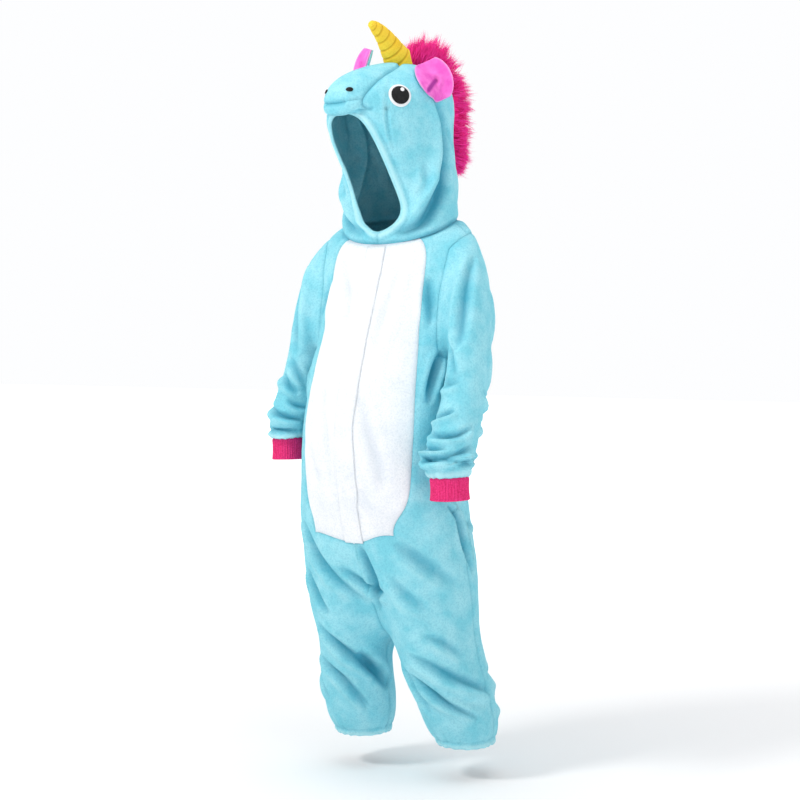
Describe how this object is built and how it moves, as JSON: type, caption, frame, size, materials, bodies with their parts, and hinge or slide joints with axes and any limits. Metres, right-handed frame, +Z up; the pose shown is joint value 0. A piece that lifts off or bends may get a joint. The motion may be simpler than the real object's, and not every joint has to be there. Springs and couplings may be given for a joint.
{
  "type": "unicorn onesie",
  "caption": "Hooded plush one-piece costume with a unicorn head on the hood, white belly, rib cuffs and a fur mane, hollow and posed as worn.",
  "frame": {"origin": "where the garment hangs from its wearer: the middle of the base of the neck, level with the shoulders", "axes": "+Z up, -Y the way the wearer faces, +X the wearer's left"},
  "size_m": [0.4158, 0.3379, 1.2218],
  "materials": {
    "plush_turquoise": "short-pile turquoise plush",
    "plush_white": "short-pile white plush",
    "rib_magenta": "magenta rib knit",
    "plush_pink": "pink velboa plush",
    "plush_yellow": "yellow velour over filling",
    "fur_magenta": "long-pile magenta fur",
    "felt_black": "black felt",
    "felt_white": "white felt"
  },
  "bodies": {
    "root": {"front_left": "plush_turquoise", "front_right": "plush_turquoise", "back_left": "plush_turquoise", "back_right": "plush_turquoise", "belly_left": "plush_white", "belly_right": "plush_white", "sleeve_left": "plush_turquoise", "sleeve_right": "plush_turquoise", "cuff_left": "rib_magenta", "cuff_right": "rib_magenta", "pocket_left": "plush_turquoise", "pocket_right": "plush_turquoise", "hood_left": "plush_turquoise", "hood_right": "plush_turquoise", "ear_back_left": "plush_turquoise", "ear_back_right": "plush_turquoise", "ear_face_left": "plush_pink", "ear_face_right": "plush_pink", "eye_white_left": "felt_white", "eye_white_right": "felt_white", "eye_black_left": "felt_black", "eye_black_right": "felt_black", "eye_glint_left": "felt_white", "eye_glint_right": "felt_white", "nostril_left": "felt_black", "nostril_right": "felt_black", "placket": "plush_white", "muzzle_top": "plush_turquoise", "muzzle_lip": "plush_turquoise", "horn": "plush_yellow", "mane": "fur_magenta"}
  },
  "joints": []
}
